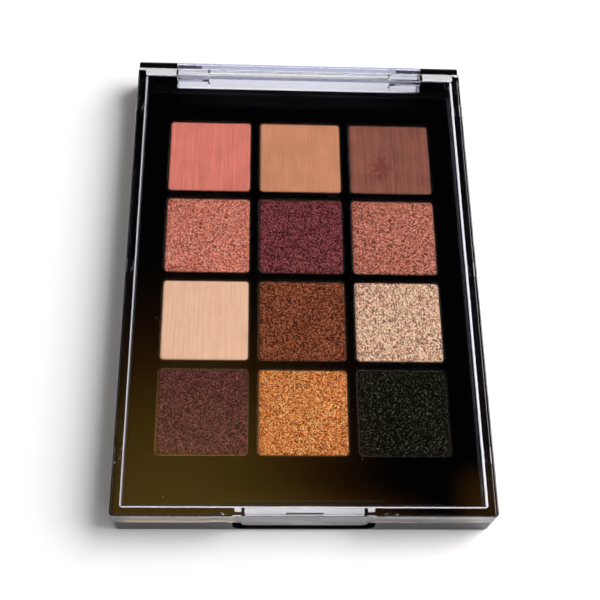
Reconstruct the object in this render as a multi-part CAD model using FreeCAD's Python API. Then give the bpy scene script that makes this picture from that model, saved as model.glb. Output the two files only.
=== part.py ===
import FreeCAD, Part
import os

# An eyeshadow palette: a black hinged case with a clear lid over twelve pressed shades.
# Millimetres. X runs across the palette, Y from the front clasp to the rear hinge, Z up from the table.
# The origin is the middle of the footprint, on the table.

Vector = FreeCAD.Vector

# Case and lid, closed
WIDTH = 82.0
LID_LENGTH = 115.6
HEIGHT = 11.5
RIM_Z = 6.15
PARTING_GAP = 0.15
CORNER_R = 1.2
BOTTOM_R = 0.6

# Hinge at the rear: black ears on the base, a clear barrel on the lid and a steel pin on each side
HINGE_SETBACK = 2.0
HINGE_Z = 8.1
BARREL_R = 1.7
EAR_INNER_X = 31.4
KNUCKLE_OUTER_X = 31.2
KNUCKLE_INNER_X = 23.3
BAR_BOTTOM_Z = 7.5
PIN_R = 1.0
PIN_INNER_X = 25.3
PIN_RECESS = 0.5
PIN_CHAMFER = 0.2
PIN_RUNNING_FIT = 0.05
PIN_PRESS_FIT = 0.02
PIN_END_GAP = 0.3
FLANGE_BOTTOM_Z = 4.2
FLANGE_EDGE_R = 1.2
FLANGE_SLOT = 0.5
RECESS = 2.9

# Base tray
BASE_WALL = 1.8
BASE_REAR_WALL = 1.5
FLOOR = 1.2
LABEL_SIZE = (58.0, 88.0)
LABEL_DEPTH = 0.3
LABEL_R = 3.0
POST_R = 2.0

# Clasp at the front: a tab on the lid in a thumb notch of the base
NOTCH_HALF = 15.4
NOTCH_CORNER_R = 2.2
NOTCH_DEPTH = 2.4
NOTCH_FLOOR_Z = 1.0
NOTCH_FLOOR_R = 0.8
CATCH_WALL = 1.3
CATCH_HALF = 17.0
TAB_HALF = 13.5
TAB_BOTTOM_Z = 4.2
TAB_CORNER_R = 1.6
TAB_THICK = 2.0
TAPER_HALF = 14.9
TAPER_DEPTH = 0.5
TAPER_TOP_Z = 9.3
HOOK_HALF = 4.0
HOOK_Z = (4.6, 5.6)
HOOK_REACH = 0.25
SLOT_MARGIN = 0.3
SLOT_DEPTH = 0.6

# Clear lid
PLATE = 1.5
LID_SIDE_WALL = 1.9
LID_FRONT_WALL = 2.1
LID_REAR_WALL = 1.6
LID_CORNER_R = 0.9
LID_EDGE_R = 0.35
LID_REAR_EDGE_R = 0.6
LID_INNER_R = 0.7
BEVEL_RUN = 2.5
BEVEL_SIDE_RUN = 1.1
BEVEL_SLOPE = 0.176
MARK_R = 2.0
MARK_OUTSIDE = 0.6
MARK_DEPTH = 0.35
MARK_SIDE_Y = (46.3, 0.6, -45.2)
MARK_FRONT_X = 18.5

# Pan frame, dropped into the base
DECK_Z = 6.8
DECK_THICK = 1.2
DECK_GAP = 0.3
DECK_CORNER_R = 0.8
DECK_EDGE_R = 0.3
SKIRT = 1.0
SKIRT_BOTTOM_Z = 1.25
CLASP_CUT_HALF = 17.4
CLASP_CUT_GAP = 0.55
WELL_WALL = 1.2
WELL_FLOOR_Z = 4.05
WELL_FLOOR = 0.9
WELL_EDGE_R = 0.2
SNAP_LENGTH = 8.0
SNAP_Z = (3.3, 3.9)
SNAP_REACH = 0.55
SNAP_PLAY = 0.15
SNAP_Y = (-34.0, 30.0)

# Pans and shades, in rows from the rear to the front
COLUMNS = 3
ROWS = 4
PITCH = 22.4
GRID_CENTRE_Y = -1.4
WELL = 20.55
WELL_R = 1.2
PAN = 20.4
PAN_R = 1.05
PAN_SHEET = 0.2
PAN_TOP_Z = 6.55
PAN_BOTTOM_R = 0.4
GLUE_PAD = 12.0
GLUE = 0.15
CAKE_PLAY = 0.02
CAKE_TOP_Z = 6.53
CAKE_EDGE_R = 0.12

# How far cutting tools run past a face, and how near two places count as one
CUT_PAST = 1.0
TOLERANCE = 1e-6

# Places worked out from the dimensions above
HALF_WIDTH = WIDTH / 2
LENGTH = LID_LENGTH + HINGE_SETBACK + BARREL_R
FRONT_Y = -LENGTH / 2
REAR_Y = LENGTH / 2
LID_REAR_Y = FRONT_Y + LID_LENGTH
LID_RIM_Z = RIM_Z + PARTING_GAP
HINGE_Y = LID_REAR_Y + HINGE_SETBACK
DECK_HALF = HALF_WIDTH - LID_SIDE_WALL - DECK_GAP
DECK_FRONT_Y = FRONT_Y + LID_FRONT_WALL + DECK_GAP
RECESS_Y = LID_REAR_Y - RECESS
TRAY_REAR_Y = RECESS_Y - BASE_REAR_WALL
DECK_REAR_Y = TRAY_REAR_Y - DECK_GAP
PLATE_Z = HEIGHT - PLATE
CLASP_CUT_Y = FRONT_Y + NOTCH_DEPTH + CATCH_WALL + CLASP_CUT_GAP
WELL_BLOCK_Z = WELL_FLOOR_Z - WELL_FLOOR
PAN_BOTTOM_Z = WELL_FLOOR_Z + GLUE
PAN_CENTRES = [
    ((column - (COLUMNS - 1) / 2) * PITCH, GRID_CENTRE_Y + ((ROWS - 1) / 2 - row) * PITCH)
    for row in range(ROWS)
    for column in range(COLUMNS)
]
SIDES = (-1, 1)


def block(x, y, z):
    """A box between the low and high ends of its x, y and z ranges."""
    size = [high - low for low, high in (x, y, z)]
    return Part.makeBox(*size, Vector(x[0], y[0], z[0]))


def edges_where(shape, test):
    """The edges of a shape whose bounding box passes a test."""
    return [edge for edge in shape.Edges if test(edge.BoundBox)]


def upright(box):
    """True for the bounding box of a vertical edge."""
    return box.XLength < TOLERANCE and box.YLength < TOLERANCE


def level_at(z):
    """A test for the bounding boxes of edges that lie at one height."""
    return lambda box: abs(box.ZMin - z) < TOLERANCE and abs(box.ZMax - z) < TOLERANCE


def slab(x, y, z, radius):
    """A box with its four upright edges rounded."""
    plain = block(x, y, z)
    return plain.makeFillet(radius, edges_where(plain, upright))


def square_slab(centre, side, z, radius):
    """A square slab about a centre in plan."""
    half = side / 2
    x = (centre[0] - half, centre[0] + half)
    y = (centre[1] - half, centre[1] + half)
    return slab(x, y, z, radius)


def prism(points, direction):
    """A closed outline of straight sides, pushed along a direction."""
    corners = [Vector(*point) for point in points]
    return Part.Face(Part.makePolygon(corners + corners[:1])).extrude(Vector(*direction))


def plan_prism(points, z):
    """A closed outline in plan, from the low to the high end of its z range."""
    return prism([(x, y, z[0]) for x, y in points], (0, 0, z[1] - z[0]))


def x_rod(radius, x, y, z):
    """A rod along X between the ends of its x range."""
    return Part.makeCylinder(radius, x[1] - x[0], Vector(x[0], y, z), Vector(1, 0, 0))


def mirrored_range(side, inner, outer):
    """The x range between two distances from the middle, on one side."""
    return tuple(sorted((side * inner, side * outer)))


def fuse_all(first, others):
    """One solid of several that meet."""
    return first.fuse(others).removeSplitter()


def hinge_profile(x, y_from, z_from):
    """The hinge's section over an x range: a block behind y_from and above z_from, with a round top."""
    rear = HINGE_Y + BARREL_R
    body = block(x, (y_from, rear), (z_from, HINGE_Z))
    return body.fuse(x_rod(BARREL_R, x, HINGE_Y, HINGE_Z))


def base_outline():
    """The base's outline in plan, with the recess for the lid's hinge between its two ears."""
    return [
        (-HALF_WIDTH, FRONT_Y),
        (HALF_WIDTH, FRONT_Y),
        (HALF_WIDTH, REAR_Y),
        (EAR_INNER_X, REAR_Y),
        (EAR_INNER_X, RECESS_Y),
        (-EAR_INNER_X, RECESS_Y),
        (-EAR_INNER_X, REAR_Y),
        (-HALF_WIDTH, REAR_Y),
    ]


def base_outside():
    """The base's outer form: a low tray with rounded corners and a rounded ear at each rear corner."""
    stock = plan_prism(base_outline(), (0, HEIGHT))
    outer = edges_where(stock, lambda box: upright(box) and abs(box.XMin) > EAR_INNER_X + TOLERANCE)
    stock = stock.makeFillet(CORNER_R, outer)
    stock = stock.makeFillet(BOTTOM_R, edges_where(stock, level_at(0)))
    envelope = block((-WIDTH, WIDTH), (FRONT_Y, REAR_Y), (0, RIM_Z))
    ears = [
        hinge_profile(mirrored_range(side, EAR_INNER_X, HALF_WIDTH), HINGE_Y - BARREL_R, BOTTOM_R)
        for side in SIDES
    ]
    return stock.common(fuse_all(envelope, ears)).removeSplitter()


def thumb_notch():
    """The cut for a thumb at the front, with rounded lower corners and a rounded rear corner."""
    rear = FRONT_Y + NOTCH_DEPTH
    floor = level_at(NOTCH_FLOOR_Z)
    cut = block((-NOTCH_HALF, NOTCH_HALF), (FRONT_Y - CUT_PAST, rear), (NOTCH_FLOOR_Z, RIM_Z + CUT_PAST))
    ends = edges_where(cut, lambda box: floor(box) and box.XLength < TOLERANCE)
    cut = cut.makeFillet(NOTCH_CORNER_R, ends)
    back = edges_where(cut, lambda box: floor(box) and box.YMin > rear - TOLERANCE)
    return cut.makeFillet(NOTCH_FLOOR_R, back)


def base_shell():
    """The black tray with its ears, catch wall, support posts, snap grooves and pin bores."""
    shell = base_outside()
    cavity_x = (BASE_WALL - HALF_WIDTH, HALF_WIDTH - BASE_WALL)
    cavity_y = (FRONT_Y + BASE_WALL, TRAY_REAR_Y)
    shell = shell.cut(slab(cavity_x, cavity_y, (FLOOR, HEIGHT), DECK_CORNER_R))
    catch_y = (FRONT_Y + BASE_WALL / 2, FRONT_Y + NOTCH_DEPTH + CATCH_WALL)
    catch_wall = block((-CATCH_HALF, CATCH_HALF), catch_y, (FLOOR / 2, RIM_Z))
    posts = [
        Part.makeCylinder(POST_R, WELL_BLOCK_Z - FLOOR / 2, Vector(x, GRID_CENTRE_Y + y, FLOOR / 2))
        for x in (-PITCH / 2, PITCH / 2)
        for y in (-PITCH, 0, PITCH)
    ]
    shell = fuse_all(shell, [catch_wall] + posts)
    slot_y = (FRONT_Y + NOTCH_DEPTH - SLOT_DEPTH, FRONT_Y + NOTCH_DEPTH + SLOT_DEPTH)
    slot_x = (-HOOK_HALF - SLOT_MARGIN, HOOK_HALF + SLOT_MARGIN)
    slot = block(slot_x, slot_y, (HOOK_Z[0] - SLOT_MARGIN, HOOK_Z[1] + SLOT_MARGIN))
    label_x, label_y = [(-size / 2, size / 2) for size in LABEL_SIZE]
    label = slab(label_x, label_y, (-CUT_PAST, LABEL_DEPTH), LABEL_R)
    cuts = [thumb_notch(), slot, label]
    for side in SIDES:
        bore_x = mirrored_range(side, EAR_INNER_X - CUT_PAST, HALF_WIDTH + CUT_PAST)
        cuts.append(x_rod(PIN_R + PIN_PRESS_FIT, bore_x, HINGE_Y, HINGE_Z))
        cuts += [snap(side, y, SNAP_PLAY) for y in SNAP_Y]
    return shell.cut(cuts).removeSplitter()


def snap(side, y, play):
    """One snap rib on the pan frame's skirt, or with some play the groove for it in the base's wall."""
    x = mirrored_range(side, DECK_HALF - SKIRT / 2, DECK_HALF + SNAP_REACH + play)
    half = SNAP_LENGTH / 2 + play
    return block(x, (y - half, y + half), (SNAP_Z[0] - play, SNAP_Z[1] + play))


def deck_outline(inset):
    """The pan frame's outline in plan, stepped back at the clasp, drawn in by an inset."""
    half = DECK_HALF - inset
    cut_half = CLASP_CUT_HALF + inset
    front = DECK_FRONT_Y + inset
    cut_y = CLASP_CUT_Y + inset
    rear = DECK_REAR_Y - inset
    return [
        (-half, front),
        (-cut_half, front),
        (-cut_half, cut_y),
        (cut_half, cut_y),
        (cut_half, front),
        (half, front),
        (half, rear),
        (-half, rear),
    ]


def pan_frame():
    """The glossy black deck with twelve square wells, a skirt round its edge and four snap ribs."""
    deck = plan_prism(deck_outline(0), (SKIRT_BOTTOM_Z, DECK_Z))
    deck = deck.makeFillet(DECK_CORNER_R, edges_where(deck, upright))
    deck = deck.makeFillet(DECK_EDGE_R, edges_where(deck, level_at(DECK_Z)))
    hollow = plan_prism(deck_outline(SKIRT), (SKIRT_BOTTOM_Z - CUT_PAST, DECK_Z - DECK_THICK))
    block_half_x = (COLUMNS - 1) / 2 * PITCH + WELL / 2 + WELL_WALL
    block_half_y = (ROWS - 1) / 2 * PITCH + WELL / 2 + WELL_WALL
    wells = block(
        (-block_half_x, block_half_x),
        (GRID_CENTRE_Y - block_half_y, GRID_CENTRE_Y + block_half_y),
        (WELL_BLOCK_Z, DECK_Z - DECK_THICK / 2),
    )
    ribs = [snap(side, y, 0) for side in SIDES for y in SNAP_Y]
    frame = fuse_all(deck.cut(hollow), [wells] + ribs)
    pockets = [square_slab(centre, WELL, (WELL_FLOOR_Z, HEIGHT), WELL_R) for centre in PAN_CENTRES]
    frame = frame.cut(pockets)
    limit_x = block_half_x - WELL_WALL / 2
    mouths = edges_where(
        frame,
        lambda box: level_at(DECK_Z)(box) and max(abs(box.XMin), abs(box.XMax)) < limit_x
        and abs(box.Center.y - GRID_CENTRE_Y) < block_half_y,
    )
    return frame.makeFillet(WELL_EDGE_R, mouths)


def lid_outside():
    """The lid's outer block: a well-rounded rear edge over the hinge, and finely rounded other edges."""
    lid = block((-HALF_WIDTH, HALF_WIDTH), (FRONT_Y, LID_REAR_Y), (LID_RIM_Z, HEIGHT))
    top = level_at(HEIGHT)
    lid = lid.makeFillet(LID_REAR_EDGE_R, edges_where(lid, lambda box: top(box) and box.YMin > 0))
    lid = lid.makeFillet(LID_CORNER_R, edges_where(lid, lambda box: upright(box) and box.YMin < 0))
    front = edges_where(lid, lambda box: top(box) and box.YMax < FRONT_Y + LID_CORNER_R / 2)
    return lid.makeFillet(LID_EDGE_R, front)


def lid_cavity():
    """The hollow under the lid's plate, with rounded upper edges and corners."""
    x = (LID_SIDE_WALL - HALF_WIDTH, HALF_WIDTH - LID_SIDE_WALL)
    y = (FRONT_Y + LID_FRONT_WALL, LID_REAR_Y - LID_REAR_WALL)
    cavity = block(x, y, (LID_RIM_Z - CUT_PAST, PLATE_Z))
    rounded = edges_where(cavity, lambda box: upright(box) or level_at(PLATE_Z)(box))
    return cavity.makeFillet(LID_INNER_R, rounded)


def lid_bevels():
    """Shallow bevels on top of the lid's rear corners, which keep them clear of the ears."""
    wedges = []
    for side in SIDES:
        for inner, outer, run in (
            (EAR_INNER_X, HALF_WIDTH - LID_SIDE_WALL, BEVEL_RUN),
            (HALF_WIDTH - LID_SIDE_WALL, HALF_WIDTH + CUT_PAST, BEVEL_SIDE_RUN),
        ):
            x = mirrored_range(side, inner, outer)
            start, end = LID_REAR_Y - run, LID_REAR_Y + CUT_PAST
            section = [
                (x[0], start, HEIGHT),
                (x[0], end, HEIGHT - BEVEL_SLOPE * (end - start)),
                (x[0], end, HEIGHT + CUT_PAST),
                (x[0], start, HEIGHT + CUT_PAST),
            ]
            wedges.append(prism(section, (x[1] - x[0], 0, 0)))
    return wedges


def lid_flange():
    """The hinge flange under the lid's rear wall: a middle part and a root at each knuckle."""
    y = (LID_REAR_Y - LID_REAR_WALL, LID_REAR_Y)
    z = (FLANGE_BOTTOM_Z, LID_RIM_Z + PLATE)
    half_slot = FLANGE_SLOT / 2
    middle = KNUCKLE_INNER_X - half_slot
    spans = [(-middle, middle)]
    spans += [mirrored_range(side, KNUCKLE_INNER_X + half_slot, KNUCKLE_OUTER_X) for side in SIDES]
    plates = []
    for x in spans:
        plate = block(x, y, z)
        lower = edges_where(plate, level_at(FLANGE_BOTTOM_Z))
        inner = [edge for edge in lower if edge.BoundBox.YMax < y[0] + TOLERANCE]
        plates.append(plate.makeFillet(FLANGE_EDGE_R, inner))
    return plates


def lid_barrel():
    """The clear hinge behind the lid: a bored knuckle at each end and a cored bar between them."""
    joint_y = LID_REAR_Y - LID_REAR_WALL / 2
    knuckle_bottom = HINGE_Z - BARREL_R
    pieces = []
    for side in SIDES:
        x = mirrored_range(side, KNUCKLE_INNER_X, KNUCKLE_OUTER_X)
        web = block(x, (joint_y, HINGE_Y), (knuckle_bottom, HINGE_Z))
        pieces.append(web.fuse(x_rod(BARREL_R, x, HINGE_Y, HINGE_Z)))
    bar = hinge_profile((-KNUCKLE_INNER_X, KNUCKLE_INNER_X), joint_y, BAR_BOTTOM_Z)
    core = block((-KNUCKLE_INNER_X, KNUCKLE_INNER_X), (joint_y, REAR_Y), (0, BAR_BOTTOM_Z))
    return pieces + [bar.cut(core)]


def lid_tab():
    """The pull tab under the lid's front wall, rounded at its lower corners."""
    tab = block((-TAB_HALF, TAB_HALF), (FRONT_Y, FRONT_Y + TAB_THICK), (TAB_BOTTOM_Z, LID_RIM_Z + PLATE))
    lower = edges_where(tab, lambda box: level_at(TAB_BOTTOM_Z)(box) and box.XLength < TOLERANCE)
    return tab.makeFillet(TAB_CORNER_R, lower)


def tab_taper():
    """The wedge cut from behind the tab, which thins it towards its lower edge."""
    back = FRONT_Y + LID_FRONT_WALL
    section = [
        (-TAPER_HALF, back, TAPER_TOP_Z),
        (-TAPER_HALF, back - TAPER_DEPTH, TAB_BOTTOM_Z),
        (-TAPER_HALF, back, TAB_BOTTOM_Z),
    ]
    return prism(section, (2 * TAPER_HALF, 0, 0))


def lid_hook():
    """The catch's hook behind the tab, with a sloped lower face that leads it in."""
    root = FRONT_Y + TAB_THICK / 2
    tip = FRONT_Y + TAB_THICK + HOOK_REACH
    section = [
        (-HOOK_HALF, root, HOOK_Z[0]),
        (-HOOK_HALF, tip - HOOK_REACH, HOOK_Z[0]),
        (-HOOK_HALF, tip, HOOK_Z[1] - HOOK_REACH),
        (-HOOK_HALF, tip, HOOK_Z[1]),
        (-HOOK_HALF, root, HOOK_Z[1]),
    ]
    return prism(section, (2 * HOOK_HALF, 0, 0))


def lid_marks():
    """Shallow round marks with sloped edges, which the moulding pins leave under the lid's rim."""
    beyond_side = HALF_WIDTH + MARK_OUTSIDE
    places = [(side * beyond_side, y) for side in SIDES for y in MARK_SIDE_Y]
    places += [(side * MARK_FRONT_X, FRONT_Y - MARK_OUTSIDE) for side in SIDES]
    bottom = LID_RIM_Z - CUT_PAST
    depth = CUT_PAST + MARK_DEPTH
    return [Part.makeCone(MARK_R + depth, MARK_R, depth, Vector(x, y, bottom)) for x, y in places]


def clear_lid():
    """The clear lid: plate, four walls, hinge flange and barrel, and pull tab in one moulding."""
    lid = fuse_all(lid_outside().cut(lid_cavity()), lid_flange() + lid_barrel() + [lid_tab()])
    bores = [
        x_rod(PIN_R + PIN_RUNNING_FIT, mirrored_range(side, PIN_INNER_X - PIN_END_GAP, HALF_WIDTH),
              HINGE_Y, HINGE_Z)
        for side in SIDES
    ]
    lid = lid.cut(bores + lid_marks() + lid_bevels() + [tab_taper()])
    return fuse_all(lid, [lid_hook()])


def hinge_pin(side):
    """One steel pin, chamfered at both ends, pressed into an ear and turning in the lid's knuckle."""
    pin = x_rod(PIN_R, mirrored_range(side, PIN_INNER_X, HALF_WIDTH - PIN_RECESS), HINGE_Y, HINGE_Z)
    return pin.makeChamfer(PIN_CHAMFER, edges_where(pin, lambda box: box.XLength < TOLERANCE))


def pan(centre):
    """One drawn tin pan: a square tray of thin sheet with a rounded lower edge."""
    outside = square_slab(centre, PAN, (PAN_BOTTOM_Z, PAN_TOP_Z), PAN_R)
    outside = outside.makeFillet(PAN_BOTTOM_R, edges_where(outside, level_at(PAN_BOTTOM_Z)))
    inside = square_slab(centre, PAN - 2 * PAN_SHEET, (PAN_BOTTOM_Z + PAN_SHEET, HEIGHT), PAN_R - PAN_SHEET)
    return outside.cut(inside)


def shade(centre):
    """One pressed powder cake in its pan, with a soft top edge."""
    side = PAN - 2 * PAN_SHEET - 2 * CAKE_PLAY
    cake = square_slab(centre, side, (PAN_BOTTOM_Z + PAN_SHEET, CAKE_TOP_Z), PAN_R - PAN_SHEET)
    return cake.makeFillet(CAKE_EDGE_R, edges_where(cake, level_at(CAKE_TOP_Z)))


def glue_pads():
    """Twelve thin adhesive pads, one under each pan."""
    z = (WELL_FLOOR_Z, PAN_BOTTOM_Z)
    return Part.makeCompound([square_slab(centre, GLUE_PAD, z, PAN_R) for centre in PAN_CENTRES])


def pieces():
    """Every piece of the palette, by name."""
    found = {
        "base_shell": base_shell(),
        "pan_frame": pan_frame(),
        "clear_lid": clear_lid(),
        "hinge_pin_left": hinge_pin(-1),
        "hinge_pin_right": hinge_pin(1),
        "pan_glue_pads": glue_pads(),
    }
    for index, centre in enumerate(PAN_CENTRES):
        place = f"r{index // COLUMNS + 1}_c{index % COLUMNS + 1}"
        found[f"pan_{place}"] = pan(centre)
        found[f"shade_{place}"] = shade(centre)
    return found


def main():
    """Builds the pieces, reports each one and writes it out."""
    os.makedirs("parts", exist_ok=True)
    for name, shape in pieces().items():
        print(name, "valid" if shape.isValid() else "NOT VALID", len(shape.Solids), "solids",
              round(shape.Volume, 2), "mm3")
        shape.exportStep(f"parts/{name}.step")


main()
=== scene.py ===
"""An eyeshadow palette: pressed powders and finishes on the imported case, with floor, light and camera."""

import logging
import math
from dataclasses import dataclass
from enum import Enum
from typing import Any, Callable, Optional, Union

import bpy
from mathutils import Matrix, Vector


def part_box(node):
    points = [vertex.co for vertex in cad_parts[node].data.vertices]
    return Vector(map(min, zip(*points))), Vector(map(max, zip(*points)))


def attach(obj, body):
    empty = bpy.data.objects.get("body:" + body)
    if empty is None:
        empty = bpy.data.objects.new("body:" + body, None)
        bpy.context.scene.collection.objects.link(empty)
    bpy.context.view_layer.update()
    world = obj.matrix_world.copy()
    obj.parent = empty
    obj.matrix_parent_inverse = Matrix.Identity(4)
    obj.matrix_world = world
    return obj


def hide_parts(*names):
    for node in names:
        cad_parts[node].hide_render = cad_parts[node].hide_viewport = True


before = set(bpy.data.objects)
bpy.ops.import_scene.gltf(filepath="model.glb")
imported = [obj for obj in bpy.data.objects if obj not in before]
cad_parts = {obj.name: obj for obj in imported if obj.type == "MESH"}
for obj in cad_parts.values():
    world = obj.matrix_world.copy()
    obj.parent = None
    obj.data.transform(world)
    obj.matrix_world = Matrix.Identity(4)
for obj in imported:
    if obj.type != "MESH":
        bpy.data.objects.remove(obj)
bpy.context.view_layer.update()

LOG = logging.getLogger("palette")
MM = 0.001
PER_MM = 1000.0
BASE_BODY = "base"
FLECKS_PER_MM = 5.0
MIDDLE = 0.5
FACING_DOWN = -0.9

Colour = tuple[float, float, float]
Place = tuple[float, float, float]
Span = tuple[float, float]

WHITE: Colour = (1.0, 1.0, 1.0)


class FlakeDraw(Enum):
    """Which of a flake's three random numbers is used, by the name of its colour channel."""

    FIRST = "Red"
    SECOND = "Green"
    THIRD = "Blue"


class CakeZone(Enum):
    """The part of a cake that an unevenness moves."""

    FACE = "face"
    RIM = "rim"


def rgba(colour: Colour) -> tuple[float, float, float, float]:
    """The colour with full opacity, as a colour socket takes it."""
    return (*colour, 1.0)


def scaled(colour: Colour, amount: float) -> Colour:
    """The colour made darker or lighter by one factor."""
    return tuple(min(1.0, part * amount) for part in colour)


class Signal:
    """A node's output socket that takes part in arithmetic."""

    def __init__(self, recipe: "Recipe", socket: bpy.types.NodeSocket) -> None:
        """Keeps the socket and the recipe that it belongs to."""
        self.recipe = recipe
        self.socket = socket

    def math(self, operation: str, first: "Value", second: "Value") -> "Signal":
        """Adds one Math node on two values."""
        return self.recipe.node("ShaderNodeMath", {"operation": operation}, {0: first, 1: second})

    def __add__(self, other: "Value") -> "Signal":
        """This value and another, added."""
        return self.math("ADD", self, other)

    def __radd__(self, other: "Value") -> "Signal":
        """Another value and this one, added."""
        return self.math("ADD", other, self)

    def __sub__(self, other: "Value") -> "Signal":
        """This value less another."""
        return self.math("SUBTRACT", self, other)

    def __rsub__(self, other: "Value") -> "Signal":
        """Another value less this one."""
        return self.math("SUBTRACT", other, self)

    def __mul__(self, other: "Value") -> "Signal":
        """This value times another."""
        return self.math("MULTIPLY", self, other)

    def __rmul__(self, other: "Value") -> "Signal":
        """Another value times this one."""
        return self.math("MULTIPLY", other, self)

    def __pow__(self, other: "Value") -> "Signal":
        """This value raised to a power."""
        return self.math("POWER", self, other)

    def either(self, other: "Value") -> "Signal":
        """The larger of this value and another."""
        return self.math("MAXIMUM", self, other)

    def span(self, low: float, high: float) -> "Signal":
        """This value spread smoothly from 0 at one end of a range to 1 at the other.

        Args:
            low: The value that becomes 0.
            high: The value that becomes 1.

        Returns:
            The spread value, held between 0 and 1.
        """
        settings = {"interpolation_type": "SMOOTHSTEP"}
        return self.recipe.node("ShaderNodeMapRange", settings, {0: self, 1: low, 2: high, 3: 0.0, 4: 1.0})


Value = Union[float, Signal]


class Recipe:
    """A node tree and short ways to add nodes to it."""

    def __init__(self, tree: bpy.types.NodeTree) -> None:
        """Starts from an empty tree."""
        self.tree = tree
        tree.nodes.clear()

    def node(
        self,
        kind: str,
        settings: Optional[dict[str, Any]] = None,
        sockets: Optional[dict[Union[int, str], Any]] = None,
        output: Union[int, str] = 0,
    ) -> Optional[Signal]:
        """Adds one node.

        Args:
            kind: The node's type.
            settings: The node's own properties, with a colour ramp's stops under "stops".
            sockets: Values or signals for its inputs, by name or number.
            output: The output that is wanted.

        Returns:
            The wanted output, or None for a node that has none.
        """
        made = self.tree.nodes.new(kind)
        for name, value in (settings or {}).items():
            if name == "stops":
                self.set_stops(made.color_ramp, value)
            else:
                setattr(made, name, value)
        for name, value in (sockets or {}).items():
            if isinstance(value, Signal):
                self.tree.links.new(value.socket, made.inputs[name])
            else:
                made.inputs[name].default_value = value
        return Signal(self, made.outputs[output]) if made.outputs else None

    @staticmethod
    def set_stops(ramp: bpy.types.ColorRamp, stops: list[tuple[float, Colour]]) -> None:
        """Gives a colour ramp its stops, from the lowest to the highest."""
        while len(ramp.elements) < len(stops):
            ramp.elements.new(1.0)
        for element, (position, colour) in zip(ramp.elements, stops):
            element.position = position
            element.color = rgba(colour)

    def ramp(self, factor: Signal, stops: list[tuple[float, Colour]]) -> Signal:
        """A colour looked up along a ramp."""
        return self.node("ShaderNodeValToRGB", {"stops": stops}, {0: factor})

    def mix(self, factor: Value, first: Any, second: Any) -> Signal:
        """Two colours mixed by a factor.

        Args:
            factor: 0 for the first colour, 1 for the second.
            first: A colour or a signal.
            second: A colour or a signal.

        Returns:
            The mixed colour.
        """
        colours = [value if isinstance(value, Signal) else rgba(value) for value in (first, second)]
        return self.node("ShaderNodeMix", {"data_type": "RGBA"}, {0: factor, 6: colours[0], 7: colours[1]}, 2)

    def millimetres(self, stretch: Place = (1.0, 1.0, 1.0), shift: Place = (0.0, 0.0, 0.0)) -> Signal:
        """The piece's own coordinates in millimetres.

        Args:
            stretch: How much finer a pattern is along each axis.
            shift: An offset in millimetres, before the stretch.

        Returns:
            The mapped vector.
        """
        place = self.node("ShaderNodeTexCoord", output="Object")
        scale = tuple(PER_MM * part for part in stretch)
        move = tuple(part * by for part, by in zip(shift, stretch))
        return self.node("ShaderNodeMapping", None, {"Vector": place, "Location": move, "Scale": scale})

    def noise(self, vector: Signal, scale: float = 1.0, detail: float = 2.0) -> Signal:
        """Soft noise, mostly between 0.3 and 0.7."""
        return self.node("ShaderNodeTexNoise", None, {"Vector": vector, "Scale": scale, "Detail": detail})

    def length(self, vector: Signal) -> Signal:
        """A vector's length."""
        return self.node("ShaderNodeVectorMath", {"operation": "LENGTH"}, {0: vector}, "Value")

    def flakes(self, vector: Signal, scale: float, draw: FlakeDraw) -> Signal:
        """One random number for each small flake.

        Args:
            vector: The place on the surface.
            scale: Flakes in a unit of that place.
            draw: Which of three numbers that don't follow each other.

        Returns:
            A number from 0 to 1.
        """
        cells = self.node("ShaderNodeTexVoronoi", None, {"Vector": vector, "Scale": scale}, "Color")
        return self.node("ShaderNodeSeparateColor", None, {0: cells}, draw.value)

    def bump(self, height: Signal, depth: float) -> Signal:
        """A normal bent by a relief from 0 to 1, with its depth in metres."""
        return self.node("ShaderNodeBump", None, {"Strength": 1.0, "Distance": depth, "Height": height})

    def principled(self, sockets: dict[str, Any]) -> Signal:
        """A Principled shader with the sockets given."""
        return self.node("ShaderNodeBsdfPrincipled", None, sockets)

    def surface(self, shader: Signal) -> None:
        """Makes a shader the material's surface."""
        self.node("ShaderNodeOutputMaterial", None, {"Surface": shader})


class Finish:
    """A material that is made once and then worn by any number of pieces."""

    name: str

    def paint(self, recipe: Recipe) -> Signal:
        """Adds the finish's nodes and gives its shader."""
        raise NotImplementedError

    def make(self) -> bpy.types.Material:
        """The finish as a material, made on first use."""
        found = bpy.data.materials.get(self.name)
        if found is None:
            found = bpy.data.materials.new(self.name)
            found.use_nodes = True
            recipe = Recipe(found.node_tree)
            recipe.surface(self.paint(recipe))
        return found

    def dress(self, node: str) -> None:
        """Puts the finish on every slot of a CAD node."""
        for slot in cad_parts[node].material_slots:
            slot.material = self.make()
        LOG.info("%s wears %s", node, self.name)


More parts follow.
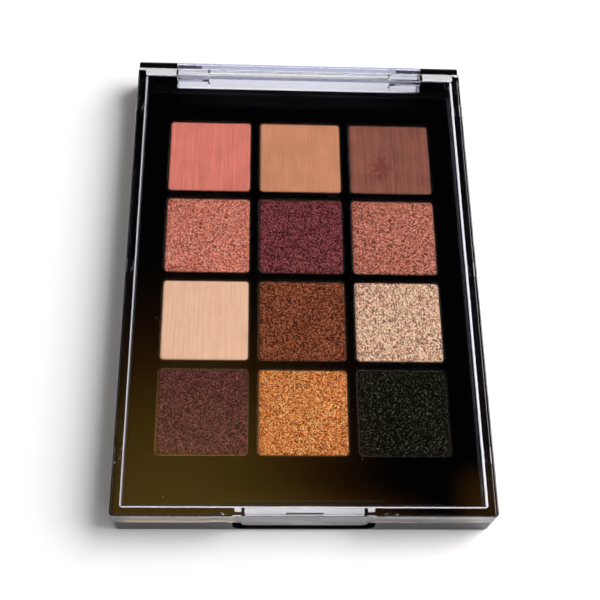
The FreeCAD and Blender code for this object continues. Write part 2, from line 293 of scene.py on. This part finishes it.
@dataclass(frozen=True)
class ClearPlastic(Finish):
    """Polished clear plastic, which lets lamplight and bounced light straight through."""

    name: str = "polished_clear_plastic"
    colour: Colour = (0.92, 0.92, 0.985)
    # Painted shade: the plastic behind this Y range is tinted dark lilac, for the shadow on the floor under
    # the hinge.
    barrel_painted_shade: Colour = (0.395, 0.415, 0.565)
    barrel_shade_y: Span = (56.0, 56.2)
    index: float = 1.58
    lamp_colour: Colour = (0.90, 0.90, 0.91)
    roughness: float = 0.02
    ripple: Place = (0.12, 0.05, 0.12)
    ripple_depth: float = 0.000004

    def paint(self, recipe: Recipe) -> Signal:
        """Clear plastic with the faint ripple of a moulded face, and painted shade in the hinge barrel."""
        ripple = recipe.noise(recipe.millimetres(self.ripple), detail=1.0)
        # Painted shade: the base colour turns dark lilac behind barrel_shade_y, to darken the floor seen
        # through the hinge barrel.
        behind = recipe.node("ShaderNodeSeparateXYZ", None, {0: recipe.millimetres()}, "Y")
        plastic = recipe.principled({
            "Base Color": recipe.mix(behind.span(*self.barrel_shade_y), self.colour, self.barrel_painted_shade),
            "Roughness": self.roughness,
            "IOR": self.index,
            "Transmission Weight": 1.0,
            "Normal": recipe.bump(ripple, self.ripple_depth),
        })
        open_way = recipe.node("ShaderNodeBsdfTransparent", None, {"Color": rgba(self.lamp_colour)})
        shaded = self.let_through(recipe, "Is Shadow Ray", plastic, open_way)
        return self.let_through(recipe, "Is Diffuse Ray", shaded, open_way)

    @staticmethod
    def let_through(recipe: Recipe, ray: str, solid: Signal, open_way: Signal) -> Signal:
        """A shader that one kind of light ray passes straight through."""
        share = recipe.node("ShaderNodeLightPath", output=ray)
        return recipe.node("ShaderNodeMixShader", None, {0: share, 1: solid, 2: open_way})


@dataclass(frozen=True)
class Dust:
    """A few loose grains of powder, of several sizes: their colour, spread and sizes in millimetres."""

    colour: Colour
    per_mm: float = 0.3
    none_below: float = 0.45
    largest: float = 0.05
    edge: Span = (0.015, -0.01)

    def specks(self, recipe: Recipe) -> Signal:
        """Where a grain lies."""
        place = recipe.millimetres()
        reach = recipe.node("ShaderNodeTexVoronoi", None, {"Vector": place, "Scale": self.per_mm}, "Distance")
        size = recipe.flakes(place, self.per_mm, FlakeDraw.FIRST).span(self.none_below, 1.0) * self.largest
        return (reach - size).span(*self.edge)


@dataclass(frozen=True)
class BlackPlastic(Finish):
    """Moulded black plastic, polished or satin."""

    name: str
    colour: Colour
    roughness: float
    specular: float
    grain_depth: float
    grains_per_mm: float
    dust: Optional[Dust] = None
    smear: Place = (0.06, 0.11, 0.06)
    smear_range: Span = (0.35, 0.75)
    smear_lift: float = 1.6
    smear_dull: float = 0.5

    def paint(self, recipe: Recipe) -> Signal:
        """Black plastic with faint smears, a fine moulded grain and any dust that lies on it."""
        smear = recipe.noise(recipe.millimetres(self.smear), detail=4.0)
        grain = recipe.noise(recipe.millimetres(), self.grains_per_mm)
        smeared = scaled(self.colour, self.smear_lift)
        colour = recipe.mix(smear.span(*self.smear_range), self.colour, smeared)
        if self.dust:
            colour = recipe.mix(self.dust.specks(recipe), colour, self.dust.colour)
        return recipe.principled({
            "Base Color": colour,
            "Roughness": self.roughness + (smear - MIDDLE) * (self.smear_dull * self.roughness),
            "Specular IOR Level": self.specular,
            "Normal": recipe.bump(grain, self.grain_depth),
        })


@dataclass(frozen=True)
class BrightMetal(Finish):
    """Bare sheet or drawn wire, with fine lines from its tools."""

    name: str
    colour: Colour
    roughness: float
    lines: Place
    line_depth: float = 0.000001
    line_dull: float = 0.4
    spots_per_mm: float = 0.6
    spot_range: Span = (0.45, 0.7)
    spot_shade: float = 0.8
    spot_dull: float = 0.5

    def paint(self, recipe: Recipe) -> Signal:
        """Bright metal with tool lines and dull spots."""
        lines = recipe.noise(recipe.millimetres(self.lines), detail=3.0)
        spots = recipe.noise(recipe.millimetres(), self.spots_per_mm, detail=3.0).span(*self.spot_range)
        dullness = 1.0 + spots * self.spot_dull + (lines - MIDDLE) * self.line_dull
        return recipe.principled({
            "Base Color": recipe.mix(spots, self.colour, scaled(self.colour, self.spot_shade)),
            "Metallic": 1.0,
            "Roughness": self.roughness * dullness,
            "Normal": recipe.bump(lines, self.line_depth),
        })


@dataclass(frozen=True)
class DriedGlue(Finish):
    """The rubbery glue that holds a pan in its well."""

    name: str = "dried_glue"
    colour: Colour = (0.55, 0.50, 0.38)
    clouds_per_mm: float = 0.8
    cloud_shade: float = 0.8
    roughness: float = 0.45
    cloud_dull: float = 0.2

    def paint(self, recipe: Recipe) -> Signal:
        """Yellowish glue, cloudy in places."""
        cloud = recipe.noise(recipe.millimetres(), self.clouds_per_mm, detail=3.0)
        return recipe.principled({
            "Base Color": recipe.mix(cloud, scaled(self.colour, self.cloud_shade), self.colour),
            "Roughness": self.roughness + cloud * self.cloud_dull,
        })


@dataclass(frozen=True)
class RubbedSpot:
    """A spot that a fingertip has rubbed: its colour, place and reach in millimetres."""

    colour: Colour
    place: Place
    share: float = 0.7
    reach: Span = (3.4, 1.2)
    ragged: Place = (1.3, 1.0, 1.0)
    ragged_by: float = 11.0

    def patch(self, recipe: Recipe) -> Signal:
        """How much of the spot's colour shows, with a ragged edge."""
        spot = recipe.millimetres(shift=tuple(-part for part in self.place))
        ragged = recipe.noise(recipe.millimetres(self.ragged), detail=4.0)
        return (recipe.length(spot) + (ragged - MIDDLE) * self.ragged_by).span(*self.reach) * self.share


@dataclass(frozen=True)
class MattePowder(Finish):
    """Chalky pressed powder."""

    name: str
    colour: Colour
    streaks: float
    mottle: float = 0.2
    rubbed: Optional[RubbedSpot] = None
    grains_per_mm: float = 4.0
    grains: float = 0.8
    streak: Place = (1.6, 0.07, 1.0)
    clouds_per_mm: float = 0.16
    clouds: float = 0.35
    tone_reach: float = 0.25
    roughness: float = 0.82
    grain_dull: float = 0.2
    specular: float = 0.12
    relief_depth: float = 0.00006
    relief_grains: float = 0.6

    def paint(self, recipe: Recipe) -> Signal:
        """Chalky powder with fine grain, soft clouds and the press's streaks along Y."""
        grain = recipe.noise(recipe.millimetres(), self.grains_per_mm, detail=3.0)
        streak = recipe.noise(recipe.millimetres(self.streak), detail=3.0)
        cloud = recipe.noise(recipe.millimetres(), self.clouds_per_mm)
        tone = grain * self.grains + streak * self.streaks + cloud * self.clouds
        middle = MIDDLE * (self.grains + self.streaks + self.clouds)
        spread = tone.span(middle - self.tone_reach, middle + self.tone_reach)
        dark, light = (scaled(self.colour, 1.0 + change) for change in (-self.mottle, self.mottle))
        colour = recipe.mix(spread, dark, light)
        if self.rubbed:
            colour = recipe.mix(self.rubbed.patch(recipe), colour, self.rubbed.colour)
        relief = grain * self.relief_grains + streak * self.streaks
        return recipe.principled({
            "Base Color": colour,
            "Roughness": self.roughness + (grain - MIDDLE) * self.grain_dull,
            "Specular IOR Level": self.specular,
            "Normal": recipe.bump(relief, self.relief_depth),
        })


@dataclass(frozen=True)
class ShimmerPowder(Finish):
    """Pearl powder: its colour and the colour of its brightest flakes."""

    name: str
    colour: Colour
    fleck: Colour
    tones: tuple[Span, ...] = ((0.0, 0.02), (0.38, 0.38), (0.6, 1.45))
    fleck_from: float = 0.85
    clouds_per_mm: float = 0.2
    cloud_from: float = 0.3
    clouds: float = 0.6
    cloud_shade: float = 0.75
    metallic: float = 0.1
    shine_metallic: float = 0.6
    roughness: float = 0.62
    shine_gloss: float = 0.25
    specular: float = 0.1
    relief_depth: float = 0.00014
    relief_per_fleck: float = 0.8

    def paint(self, recipe: Recipe) -> Signal:
        """Powder in which each flake is a little lighter, darker or shinier than its neighbours."""
        tone = recipe.flakes(recipe.millimetres(), FLECKS_PER_MM, FlakeDraw.FIRST)
        shine = recipe.flakes(recipe.millimetres(), FLECKS_PER_MM, FlakeDraw.SECOND)
        cloud = recipe.noise(recipe.millimetres(), self.clouds_per_mm)
        stops = [(position, scaled(self.colour, amount)) for position, amount in self.tones]
        flakes = recipe.ramp(tone, stops + [(self.fleck_from, self.fleck)])
        clouded = scaled(self.colour, self.cloud_shade)
        relief = recipe.noise(recipe.millimetres(), self.relief_per_fleck * FLECKS_PER_MM)
        return recipe.principled({
            "Base Color": recipe.mix((cloud - self.cloud_from) * self.clouds, flakes, clouded),
            "Metallic": self.metallic + shine * self.shine_metallic,
            "Roughness": self.roughness - shine * self.shine_gloss,
            "Specular IOR Level": self.specular,
            "Normal": recipe.bump(relief, self.relief_depth),
        })


@dataclass(frozen=True)
class FoilPowder(Finish):
    """Bright powder whose flakes lie in short crinkles."""

    name: str
    colour: Colour
    fleck: Colour
    crinkle: Place = (2.2, 1.5, 1.0)
    flake: Place = (1.0, 0.75, 1.0)
    crinkles: float = 0.5
    shade_range: Span = (0.27, 0.73)
    # Painted shade: how dark the low folds of the crinkle are painted, as a share of the powder's colour.
    fold_painted_shade: float = 0.1
    colour_at: float = 0.5
    fleck_at: float = 0.9
    metallic: float = 0.05
    flake_metallic: float = 0.2
    roughness: float = 0.5
    flake_gloss: float = 0.2
    flake_relief: float = 0.12
    relief_depth: float = 0.0002

    def paint(self, recipe: Recipe) -> Signal:
        """Powder with a crinkled face, its flakes varying at random, with painted shade in folds and painted
        shine on flakes.
        """
        crinkle = recipe.noise(recipe.millimetres(self.crinkle), detail=3.0)
        tone = recipe.flakes(recipe.millimetres(self.flake), FLECKS_PER_MM, FlakeDraw.FIRST)
        # Painted shade and highlight: low crinkle folds darkened, high flakes paled, standing in for light
        # and shade on the crinkles.
        shade = (crinkle * self.crinkles + tone * (1.0 - self.crinkles)).span(*self.shade_range)
        dark = scaled(self.colour, self.fold_painted_shade)
        stops = [(0.0, dark), (self.colour_at, self.colour), (self.fleck_at, self.fleck)]
        return recipe.principled({
            "Base Color": recipe.ramp(shade, stops),
            "Metallic": self.metallic + tone * self.flake_metallic,
            "Roughness": self.roughness - tone * self.flake_gloss,
            "Normal": recipe.bump(crinkle + tone * self.flake_relief, self.relief_depth),
        })


@dataclass(frozen=True)
class GlitterPowder(Finish):
    """Dark powder with fine flakes, of which some flash."""

    name: str
    colour: Colour
    fleck: Colour
    flash_from: float = 0.75
    flash_power: float = 2.0
    tints: Span = (0.1, 1.9)
    flash_metallic: float = 0.8
    roughness: float = 0.7
    flash_gloss: float = 0.35
    specular: float = 0.02
    relief_depth: float = 0.0001

    def paint(self, recipe: Recipe) -> Signal:
        """Dark grains of two tints, with a share of bright flakes."""
        pick = recipe.flakes(recipe.millimetres(), FLECKS_PER_MM, FlakeDraw.FIRST)
        tint = recipe.flakes(recipe.millimetres(), FLECKS_PER_MM, FlakeDraw.THIRD)
        flash = pick.span(self.flash_from, 1.0) ** self.flash_power
        body = recipe.mix(tint, *(scaled(self.colour, amount) for amount in self.tints))
        relief = recipe.noise(recipe.millimetres(), FLECKS_PER_MM)
        return recipe.principled({
            "Base Color": recipe.mix(flash, body, self.fleck),
            "Metallic": flash * self.flash_metallic,
            "Roughness": self.roughness - flash * self.flash_gloss,
            "Specular IOR Level": self.specular,
            "Normal": recipe.bump(relief, self.relief_depth),
        })


def deselect_all() -> None:
    """Leaves object mode with nothing selected."""
    if bpy.context.mode != "OBJECT":
        bpy.ops.object.mode_set(mode="OBJECT")
    bpy.ops.object.select_all(action="DESELECT")


def pick_edges(piece: bpy.types.Object, test: Callable[[Vector, Vector], bool]) -> None:
    """Selects the edges whose two ends pass a test, and goes to edit mode.

    Args:
        piece: The piece to edit.
        test: A test on an edge's two ends.
    """
    bpy.ops.object.mode_set(mode="EDIT")
    bpy.ops.mesh.select_mode(type="EDGE")
    bpy.ops.mesh.select_all(action="DESELECT")
    bpy.ops.object.mode_set(mode="OBJECT")
    mesh = piece.data
    for edge in mesh.edges:
        first, second = (mesh.vertices[index].co for index in edge.vertices)
        edge.select = test(first, second)
    bpy.ops.object.mode_set(mode="EDIT")


def apply_modifier(piece: bpy.types.Object, kind: str, settings: dict[str, Any]) -> None:
    """Adds a modifier to the active piece and applies it.

    Args:
        piece: The active piece.
        kind: The modifier's type.
        settings: Its properties.
    """
    made = piece.modifiers.new(kind.lower(), kind)
    for name, value in settings.items():
        setattr(made, name, value)
    bpy.ops.object.modifier_apply(modifier=made.name)


@dataclass(frozen=True)
class Relief:
    """One layer of unevenness on a cake: its depth and its noise's stretch, in millimetres."""

    depth: float
    stretch: Place
    middle: float = MIDDLE
    zone: CakeZone = CakeZone.FACE
    octaves: int = 2


@dataclass
class CakePress:
    """The press that makes a plain cake, which is then copied into each pan."""

    pattern_node: str
    corner_radius: float = 0.8 * MM
    corner_segments: int = 6
    edge_radius: float = 0.16 * MM
    edge_segments: int = 3
    voxel: float = 0.16 * MM
    face_depth: float = 0.12 * MM
    rim_width: float = 0.5 * MM

    def press(self) -> bpy.types.Object:
        """A cake with rounded corners and a soft upper edge, in an even mesh.

        Returns:
            The plain cake, in the place of the pattern node.
        """
        low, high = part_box(self.pattern_node)
        deselect_all()
        bpy.ops.mesh.primitive_cube_add(size=1.0, location=(0.0, 0.0, 0.0))
        cake = bpy.context.object
        cake.name = "plain_cake"
        bpy.ops.object.mode_set(mode="EDIT")
        bpy.ops.mesh.select_all(action="SELECT")
        bpy.ops.transform.resize(value=high - low)
        bpy.ops.transform.translate(value=(low + high) / 2)
        pick_edges(cake, lambda first, second: abs(first.z - second.z) > self.edge_radius)
        bpy.ops.mesh.bevel(offset=self.corner_radius, segments=self.corner_segments, affect="EDGES")
        top = high.z - self.edge_radius / 2
        pick_edges(cake, lambda first, second: min(first.z, second.z) > top)
        bpy.ops.mesh.bevel(offset=self.edge_radius, segments=self.edge_segments, affect="EDGES")
        bpy.ops.object.mode_set(mode="OBJECT")
        settings = {"mode": "VOXEL", "voxel_size": self.voxel, "use_smooth_shade": True}
        apply_modifier(cake, "REMESH", settings)
        self.close_underside(cake, low.z)
        self.mark_face(cake, low, high)
        return cake

    def close_underside(self, cake: bpy.types.Object, bottom: float) -> None:
        """Makes the hidden underside one plain face.

        Args:
            cake: The cake.
            bottom: The height of its underside.
        """
        bpy.ops.object.mode_set(mode="EDIT")
        bpy.ops.mesh.select_mode(type="FACE")
        bpy.ops.mesh.select_all(action="DESELECT")
        bpy.ops.object.mode_set(mode="OBJECT")
        for face in cake.data.polygons:
            face.select = face.center.z < bottom + self.voxel / 2 and face.normal.z < FACING_DOWN
        bpy.ops.object.mode_set(mode="EDIT")
        bpy.ops.mesh.dissolve_faces()
        bpy.ops.object.mode_set(mode="OBJECT")

    def mark_face(self, cake: bpy.types.Object, low: Vector, high: Vector) -> None:
        """Names the vertices of the cake's upper face and of its rim.

        Args:
            cake: The cake.
            low: Its lowest corner.
            high: Its highest corner.
        """
        face = cake.vertex_groups.new(name=CakeZone.FACE.value)
        rim = cake.vertex_groups.new(name=CakeZone.RIM.value)
        for vertex in cake.data.vertices:
            x, y, z = vertex.co
            if z > high.z - self.face_depth:
                face.add([vertex.index], 1.0, "REPLACE")
            to_side = min(x - low.x, high.x - x, y - low.y, high.y - y)
            if to_side < self.rim_width and z > high.z - self.rim_width:
                rim.add([vertex.index], 1.0 - to_side / self.rim_width, "REPLACE")


@dataclass
class Shade:
    """One shade of the palette: a cake in its pan."""

    place: str
    powder: Finish
    slot: str
    reliefs: tuple[Relief, ...]

    @property
    def node(self) -> str:
        """The CAD node that the cake stands for."""
        return f"shade_{self.place}"

    def build(self, plain: bpy.types.Object, pattern_node: str) -> None:
        """Copies the plain cake into this shade's pan and gives it its own face.

        Args:
            plain: The plain cake.
            pattern_node: The node whose place the plain cake has.
        """
        deselect_all()
        plain.select_set(True)
        bpy.context.view_layer.objects.active = plain
        bpy.ops.object.duplicate(linked=False)
        cake = bpy.context.object
        cake.name = f"cake_{self.place}"
        cake.data.name = cake.name
        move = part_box(self.node)[0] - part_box(pattern_node)[0]
        bpy.ops.object.mode_set(mode="EDIT")
        bpy.ops.mesh.select_all(action="SELECT")
        bpy.ops.transform.translate(value=move)
        bpy.ops.object.mode_set(mode="OBJECT")
        for relief in self.reliefs:
            self.roughen(cake, relief)
        cake.vertex_groups.clear()
        cake.data.materials.clear()
        cake.data.materials.append(self.powder.make())
        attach(cake, BASE_BODY)
        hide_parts(self.node)
        LOG.info("%s: %d faces of %s", cake.name, len(cake.data.polygons), self.powder.name)

    @staticmethod
    def roughen(cake: bpy.types.Object, relief: Relief) -> None:
        """Moves the cake's face up and down by stretched noise.

        Args:
            cake: The active cake.
            relief: The layer of unevenness.
        """
        noise = bpy.data.textures.new("pressed_powder", "CLOUDS")
        noise.noise_scale = 1.0
        noise.noise_depth = relief.octaves
        space = bpy.data.objects.new("stretch", None)
        bpy.context.scene.collection.objects.link(space)
        space.scale = Vector(relief.stretch) * MM
        bpy.context.view_layer.update()
        apply_modifier(cake, "DISPLACE", {
            "texture": noise,
            "texture_coords": "OBJECT",
            "texture_coords_object": space,
            "direction": "Z",
            "mid_level": relief.middle,
            "strength": relief.depth * MM,
            "vertex_group": relief.zone.value,
        })
        bpy.data.objects.remove(space)
        bpy.data.textures.remove(noise)


CHIPPED_RIM = Relief(0.12, (0.5, 0.5, 0.5), middle=0.75, zone=CakeZone.RIM)
SETTLED = Relief(0.14, (5.0, 7.0, 5.0))
STREAKED = (SETTLED, Relief(0.05, (0.5, 9.0, 0.5)), CHIPPED_RIM)
GRAINED = (SETTLED, Relief(0.05, (0.26, 0.26, 0.26)), CHIPPED_RIM)
CRINKLED = (SETTLED, Relief(0.13, (0.4, 0.6, 0.4)), Relief(0.07, (0.24, 0.28, 0.24)), CHIPPED_RIM)


@dataclass
class ShadeTray:
    """The twelve shades in their pans, in rows from the rear to the front."""

    shades: list[Shade]
    tin: BrightMetal = BrightMetal(
        "bright_pan_tin",
        (0.62, 0.61, 0.59),
        roughness=0.1,
        lines=(0.2, 3.0, 3.0),
    )
    glue: DriedGlue = DriedGlue()

    def build(self) -> None:
        """Presses the cakes, and dresses the pans and the glue under them."""
        pattern_node = self.shades[0].node
        plain = CakePress(pattern_node).press()
        for shade in self.shades:
            shade.build(plain, pattern_node)
            self.tin.dress(f"pan_{shade.place}")
        bpy.data.objects.remove(plain)
        self.glue.dress("pan_glue_pads")


def palette_shades() -> list[Shade]:
    """The twelve shades of this palette.

    Returns:
        The shades, in rows from the rear to the front.
    """
    rubbed = RubbedSpot(colour=(0.19, 0.040, 0.030), place=(20.0, 29.6, 6.5))
    salmon = MattePowder("salmon_pink_matte", (0.775, 0.223, 0.153), streaks=0.5)
    caramel = MattePowder("caramel_matte", (0.642, 0.273, 0.136), streaks=0.25)
    mauve = MattePowder("mauve_brown_matte", (0.250, 0.088, 0.054), streaks=0.5, mottle=0.42, rubbed=rubbed)
    peach = MattePowder("pale_peach_matte", (0.985, 0.565, 0.347), streaks=0.4, mottle=0.14)
    rose = ShimmerPowder("copper_rose_shimmer", (0.92, 0.189, 0.106), fleck=(1.0, 0.48, 0.335))
    plum = ShimmerPowder("plum_shimmer", (0.109, 0.0150, 0.0169), fleck=(0.45, 0.12, 0.12))
    copper = ShimmerPowder("rose_copper_shimmer", (0.447, 0.124, 0.066), fleck=(0.97, 0.40, 0.27))
    chestnut = ShimmerPowder("chestnut_shimmer", (0.1415, 0.0272, 0.0083), fleck=(0.54, 0.175, 0.072))
    champagne = FoilPowder("champagne_foil", (0.84, 0.356, 0.187), fleck=(1.0, 0.765, 0.47))
    brown = ShimmerPowder("dark_brown_shimmer", (0.0665, 0.0133, 0.0151), fleck=(0.28, 0.09, 0.08))
    gold = ShimmerPowder("copper_gold_shimmer", (0.93, 0.188, 0.0375), fleck=(1.0, 0.59, 0.186))
    black = GlitterPowder("black_glitter", (0.0033, 0.0030, 0.0008), fleck=(0.11, 0.11, 0.068))
    return [
        Shade("r1_c1", salmon, "shade_salmon_pink", STREAKED),
        Shade("r1_c2", caramel, "shade_caramel", STREAKED),
        Shade("r1_c3", mauve, "shade_mauve_brown", STREAKED),
        Shade("r2_c1", rose, "shade_copper_rose", GRAINED),
        Shade("r2_c2", plum, "shade_plum", GRAINED),
        Shade("r2_c3", copper, "shade_rose_copper", GRAINED),
        Shade("r3_c1", peach, "shade_pale_peach", STREAKED),
        Shade("r3_c2", chestnut, "shade_chestnut", GRAINED),
        Shade("r3_c3", champagne, "shade_champagne", CRINKLED),
        Shade("r4_c1", brown, "shade_dark_brown", GRAINED),
        Shade("r4_c2", gold, "shade_copper_gold", GRAINED),
        Shade("r4_c3", black, "shade_black_glitter", GRAINED),
    ]


@dataclass
class Case:
    """The black base, its glossy deck, the clear lid and the hinge pins."""

    shell: BlackPlastic = BlackPlastic(
        "glossy_black_case",
        (0.0012, 0.0011, 0.0015),
        roughness=0.12,
        specular=0.08,
        grain_depth=0.000003,
        grains_per_mm=5.0,
    )
    deck: BlackPlastic = BlackPlastic(
        "glossy_black_deck",
        (0.0003, 0.0003, 0.0003),
        roughness=0.03,
        specular=0.45,
        grain_depth=0.000001,
        grains_per_mm=3.0,
        dust=Dust((0.10, 0.09, 0.08)),
    )
    lid: ClearPlastic = ClearPlastic()
    pins: BrightMetal = BrightMetal(
        "drawn_pin_steel",
        (0.62, 0.60, 0.57),
        roughness=0.22,
        lines=(0.4, 6.0, 6.0),
    )

    def dress(self) -> None:
        """Puts the finishes on the case's pieces."""
        self.shell.dress("base_shell")
        self.deck.dress("pan_frame")
        self.lid.dress("clear_lid")
        for side in ("left", "right"):
            self.pins.dress(f"hinge_pin_{side}")


@dataclass(frozen=True)
class StudioFloor(Finish):
    """White paper under the object, with the distances at which it fades, in millimetres."""

    name: str = "white_paper"
    colour: Colour = (0.96, 0.96, 0.96)
    tooth_per_mm: float = 0.4
    tooth_shade: float = 0.995
    roughness: float = 0.9
    fade: Span = (250.0, 700.0)

    def paint(self, recipe: Recipe) -> Signal:
        """Matt white paper with a very faint tooth, which fades into the white background for the camera."""
        place = recipe.millimetres()
        tooth = recipe.noise(place, self.tooth_per_mm)
        paper = recipe.principled({
            "Base Color": recipe.mix(tooth, scaled(self.colour, self.tooth_shade), self.colour),
            "Roughness": self.roughness,
            "Specular IOR Level": 0.0,
        })
        camera = recipe.node("ShaderNodeLightPath", output="Is Camera Ray")
        white = recipe.node("ShaderNodeEmission", None, {"Color": rgba(WHITE), "Strength": 1.0})
        faded = recipe.length(place).span(*self.fade) * camera
        return recipe.node("ShaderNodeMixShader", None, {0: faded, 1: paper, 2: white})


@dataclass(frozen=True)
class Lamp:
    """A soft oblong lamp that points at the palette, or that only gives one piece its glints."""

    name: str
    place: Place
    colour: Colour
    width: float
    height: float
    watts: float
    glints_on: Optional[str] = None

    def hang(self) -> None:
        """Adds the lamp, aimed at the middle of the palette and unseen through clear plastic."""
        data = bpy.data.lights.new(self.name, "AREA")
        data.shape = "RECTANGLE"
        data.size = self.width
        data.size_y = self.height
        data.energy = self.watts
        data.color = self.colour
        lamp = bpy.data.objects.new(self.name, data)
        lamp.location = self.place
        lamp.visible_transmission = False
        lamp.rotation_euler = (-Vector(self.place)).to_track_quat("-Z", "Y").to_euler()
        bpy.context.scene.collection.objects.link(lamp)
        if self.glints_on:
            lit = bpy.data.collections.new(f"lit_by_{self.name}")
            lit.objects.link(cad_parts[self.glints_on])
            lamp.light_linking.receiver_collection = lit
        LOG.info("lamp %s: %.1f W", self.name, self.watts)


@dataclass(frozen=True)
class Room:
    """The room round the palette, as the light from each direction.

    Each span is of a direction's X (side), Y (rear) or Z (height). It runs from where a thing begins to
    where it is full.
    """

    walls: tuple[Colour, Colour] = ((0.62, 0.65, 0.71), (1.5, 1.53, 1.58))
    bright_side: Span = (0.2, 0.9)
    wall_height: Span = (0.66, 0.45)
    ceiling_stops: tuple[tuple[float, Colour], ...] = (
        (0.0, (0.001, 0.001, 0.001)),
        (0.25, (0.13, 0.055, 0.006)),
        (1.0, (0.56, 0.325, 0.05)),
    )
    patch_side: Span = (0.15, -0.08)
    patch_height: Span = (0.84, 0.975)
    patch_power: float = 3.0
    bulge: float = 0.05
    bulge_rear: Span = (0.285, 0.25)
    glow: float = 0.33
    glow_from: Span = (0.18, 0.215)
    glow_to: Span = (0.26, 0.23)
    glow_rear: Span = (0.297, 0.264)
    zenith: Colour = (0.66, 0.62, 0.70)
    zenith_height: Span = (0.976, 0.986)

    def light(self) -> None:
        """Makes pale walls, brighter on the right, and a dark ceiling with a warm patch."""
        world = bpy.data.worlds.new("room")
        world.use_nodes = True
        bpy.context.scene.world = world
        recipe = Recipe(world.node_tree)
        towards = recipe.node("ShaderNodeTexCoord", output="Generated")
        side, rear, height = (
            recipe.node("ShaderNodeSeparateXYZ", None, {0: towards}, axis) for axis in "XYZ"
        )
        ceiling = recipe.ramp(self.warmth(side, rear, height), list(self.ceiling_stops))
        ceiling = recipe.mix(height.span(*self.zenith_height), ceiling, self.zenith)
        walls = recipe.mix(side.span(*self.bright_side), *self.walls)
        seen = recipe.mix(height.span(*self.wall_height), ceiling, walls)
        camera = recipe.node("ShaderNodeLightPath", output="Is Camera Ray")
        shown = recipe.mix(camera, seen, WHITE)
        background = recipe.node("ShaderNodeBackground", None, {"Color": shown, "Strength": 1.0})
        recipe.node("ShaderNodeOutputWorld", None, {"Surface": background})

    def warmth(self, side: Signal, rear: Signal, height: Signal) -> Signal:
        """How warm the ceiling is: a patch on the left that bulges in front, and a small glow on the right.

        Args:
            side: The direction's X.
            rear: The direction's Y.
            height: The direction's Z.

        Returns:
            A number from 0 to 1.
        """
        bulge = rear.span(*self.bulge_rear) * self.bulge
        patch = (side - bulge).span(*self.patch_side) * height.span(*self.patch_height) ** self.patch_power
        glow = side.span(*self.glow_from) * side.span(*self.glow_to) * rear.span(*self.glow_rear)
        return patch.either(glow * self.glow)


@dataclass(frozen=True)
class Studio:
    """The floor, the lamps, the room round them and the camera."""

    lamps: tuple[Lamp, ...]
    room: Room = Room()
    floor_side: float = 4.0
    floor_drop: float = 0.00002
    target: Place = (-0.00006, -0.0038, 0.0)
    distance: float = 0.2591
    pitch: float = math.radians(63.94)
    yaw: float = math.radians(-6.44)
    roll: float = math.radians(6.50)
    lens: float = 64.44
    sensor: float = 36.0
    clip_start: float = 0.01

    def build(self) -> None:
        """Builds everything that isn't the object."""
        bpy.context.scene.view_settings.view_transform = "Standard"
        self.lay_floor()
        self.room.light()
        for lamp in self.lamps:
            lamp.hang()
        self.set_camera()

    def lay_floor(self) -> None:
        """Lays the white floor just under the palette."""
        deselect_all()
        bpy.ops.mesh.primitive_plane_add(size=self.floor_side, location=(0.0, 0.0, -self.floor_drop))
        floor = bpy.context.object
        floor.name = "floor"
        floor.data.materials.append(StudioFloor().make())

    def set_camera(self) -> None:
        """Puts the camera where the palette looks as it does from the photographer's place."""
        flat = math.cos(self.pitch)
        back = Vector((math.sin(self.yaw) * flat, -math.cos(self.yaw) * flat, math.sin(self.pitch)))
        right = Vector((math.cos(self.yaw), math.sin(self.yaw), 0.0))
        up = back.cross(right)
        across = math.cos(self.roll) * right + math.sin(self.roll) * up
        upwards = math.cos(self.roll) * up - math.sin(self.roll) * right
        turned = Matrix((across, upwards, back)).transposed().to_4x4()
        data = bpy.data.cameras.new("camera")
        data.lens = self.lens
        data.sensor_width = self.sensor
        data.clip_start = self.clip_start
        camera = bpy.data.objects.new("camera", data)
        camera.matrix_world = Matrix.Translation(Vector(self.target) + back * self.distance) @ turned
        bpy.context.scene.collection.objects.link(camera)
        bpy.context.scene.camera = camera


STUDIO_LAMPS = (
    Lamp("window", (0.755, 0.22, 0.555), (1.0, 0.99, 0.98), width=1.0, height=0.8, watts=18.9),
    Lamp("front_fill", (0.35, -0.72, 0.62), (0.98, 0.98, 1.0), width=0.35, height=0.35, watts=0.6),
    Lamp("left_fill", (-0.80, 0.12, 0.36), (0.97, 0.98, 1.0), width=0.5, height=0.5, watts=0.2),
    Lamp(
        "rear_glint",
        (0.042, 0.805, 0.503),
        (0.985, 0.975, 1.0),
        width=0.45,
        height=0.2,
        watts=2.7,
        glints_on="clear_lid",
    ),
)


def main() -> None:
    """Builds the palette's looks and the studio round it."""
    logging.basicConfig(level=logging.INFO, format="%(message)s")
    ShadeTray(palette_shades()).build()
    Case().dress()
    Studio(STUDIO_LAMPS).build()


if __name__ == "__main__":
    main()
